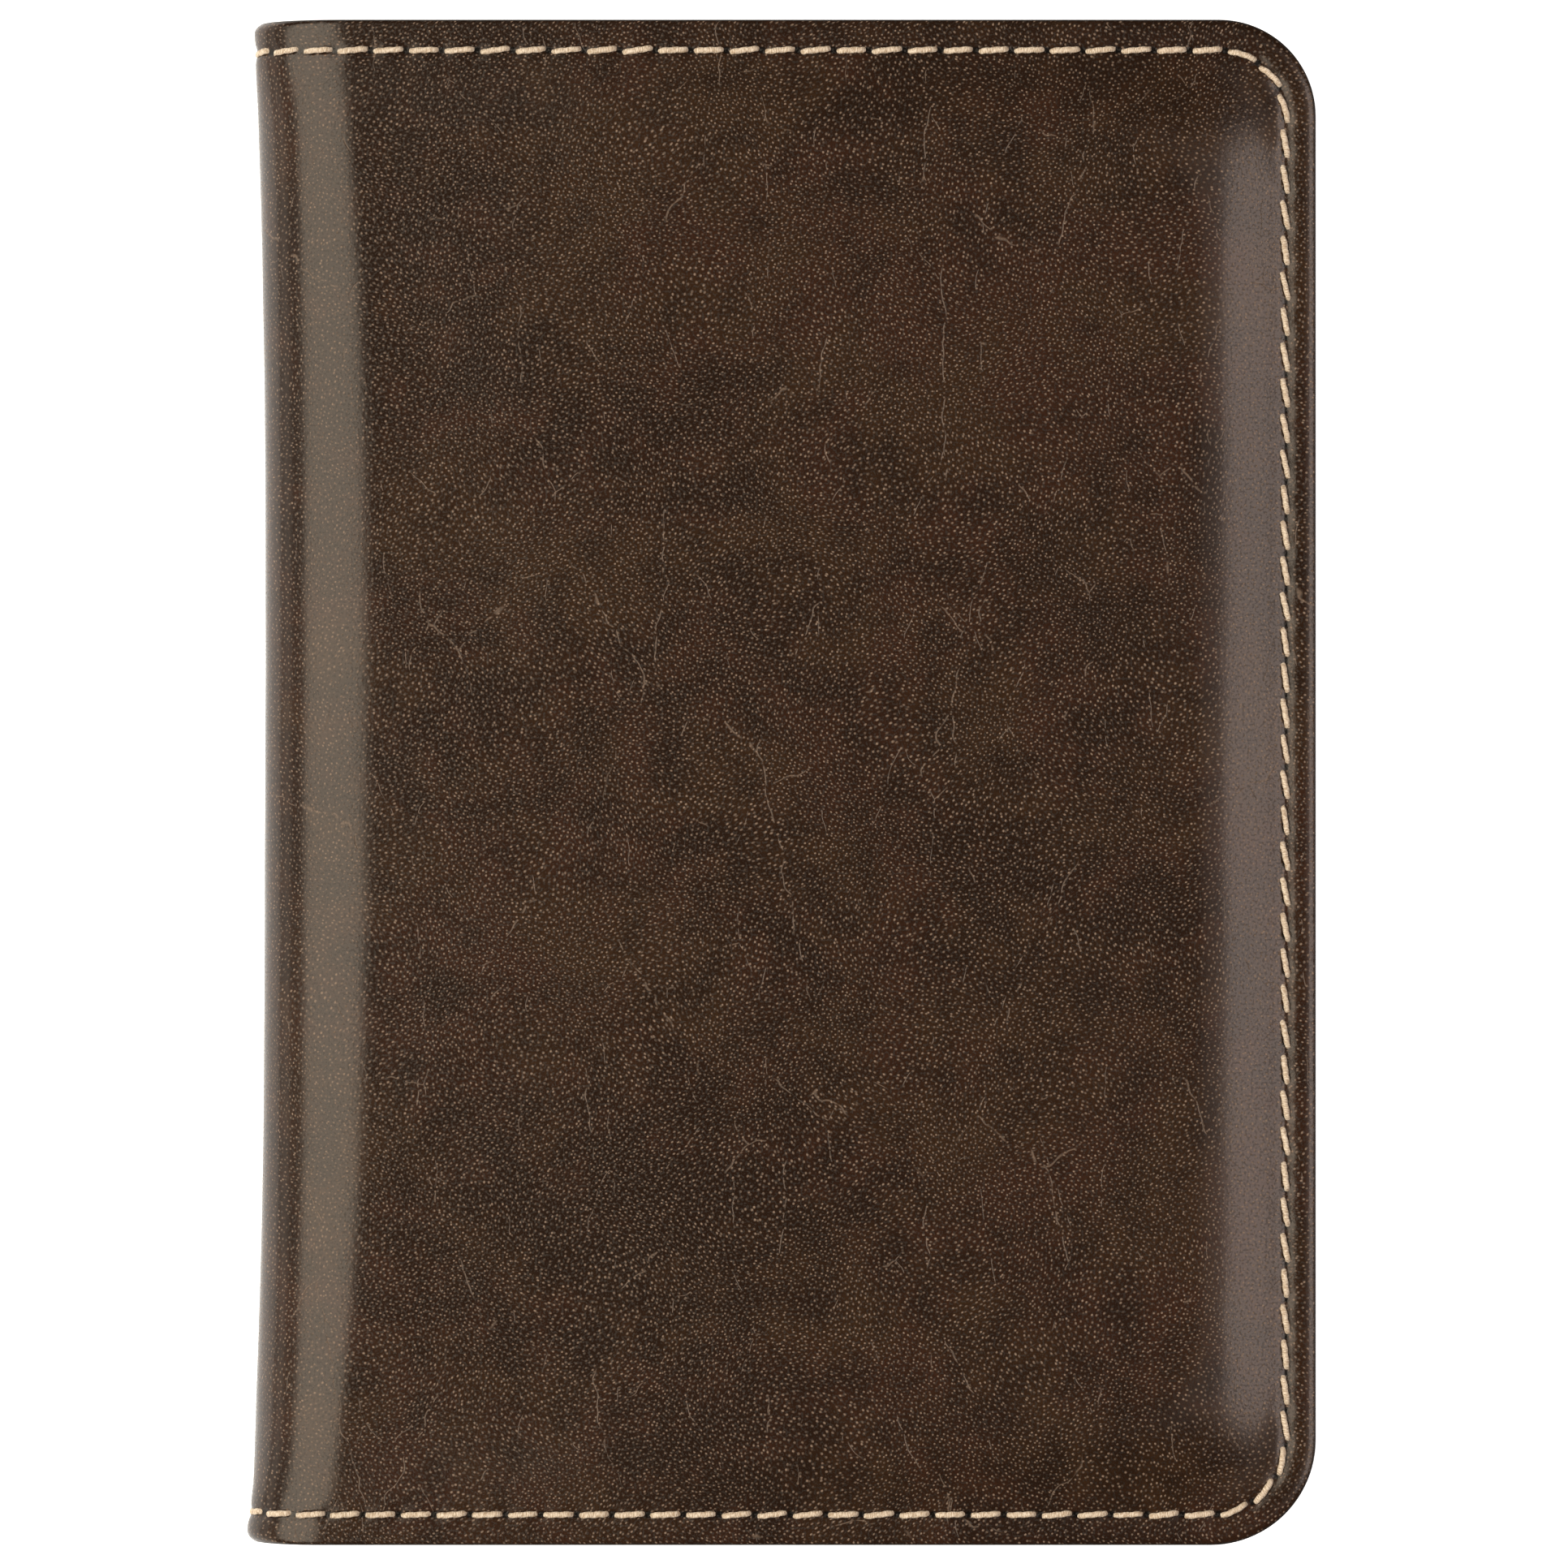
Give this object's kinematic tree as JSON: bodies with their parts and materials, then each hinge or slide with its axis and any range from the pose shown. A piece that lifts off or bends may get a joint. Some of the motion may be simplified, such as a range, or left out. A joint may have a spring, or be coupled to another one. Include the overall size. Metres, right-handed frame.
{
  "type": "passport holder",
  "caption": "Book-style padded leather passport cover with a soft rounded spine, contrast edge stitching, an inner passport sleeve, a ticket pocket and stepped card pockets.",
  "frame": {"origin": "centre of the closed holder's bounding box, on the back face it lies on", "axes": "+X from the spine towards the opening edge, +Y towards the top edge, +Z out of the front cover"},
  "size_m": [0.0988, 0.142, 0.013],
  "materials": {
    "outer_leather": "semi-gloss speckled grain, dark painted edges",
    "pocket_leather": "smooth matt",
    "lining_cloth": "matt microfibre",
    "foam": "matt foam sheet",
    "board": "matt",
    "seam_thread": "waxed twisted thread"
  },
  "bodies": {
    "back_cover": {"back_cover_leather": "outer_leather", "back_padding": "foam", "back_stiffener_board": "board", "back_lining": "lining_cloth", "back_seam_thread": "seam_thread", "passport_sleeve": "pocket_leather", "ticket_pocket": "pocket_leather", "back_bobbin_thread": "seam_thread", "ticket_pocket_seam_thread": "seam_thread"},
    "spine": {"spine_leather": "outer_leather", "spine_lining": "lining_cloth", "spine_seam_thread_top": "seam_thread", "spine_seam_thread_bottom": "seam_thread", "spine_bobbin_thread_top": "seam_thread", "spine_bobbin_thread_bottom": "seam_thread"},
    "front_cover": {"front_cover_leather": "outer_leather", "front_padding": "foam", "front_stiffener_board": "board", "front_lining": "lining_cloth", "front_seam_thread": "seam_thread", "slip_pocket_panel": "pocket_leather", "card_pocket_upper": "pocket_leather", "card_pocket_middle": "pocket_leather", "card_pocket_lower": "pocket_leather", "front_bobbin_thread": "seam_thread", "card_pocket_seam_thread": "seam_thread"}
  },
  "joints": [
    {"name": "back_fold", "type": "hinge", "parent": "back_cover", "child": "spine", "pos_m": [-0.04712, 0, 0.00255], "axis": [0, -1, 0], "range_deg": [0, 90]},
    {"name": "front_fold", "type": "hinge", "parent": "spine", "child": "front_cover", "pos_m": [-0.04712, 0, 0.01045], "axis": [0, -1, 0], "range_deg": [0, 90]}
  ],
  "couplings": [
    {"joint": "front_fold", "follows": "back_fold", "ratio": 1}
  ]
}
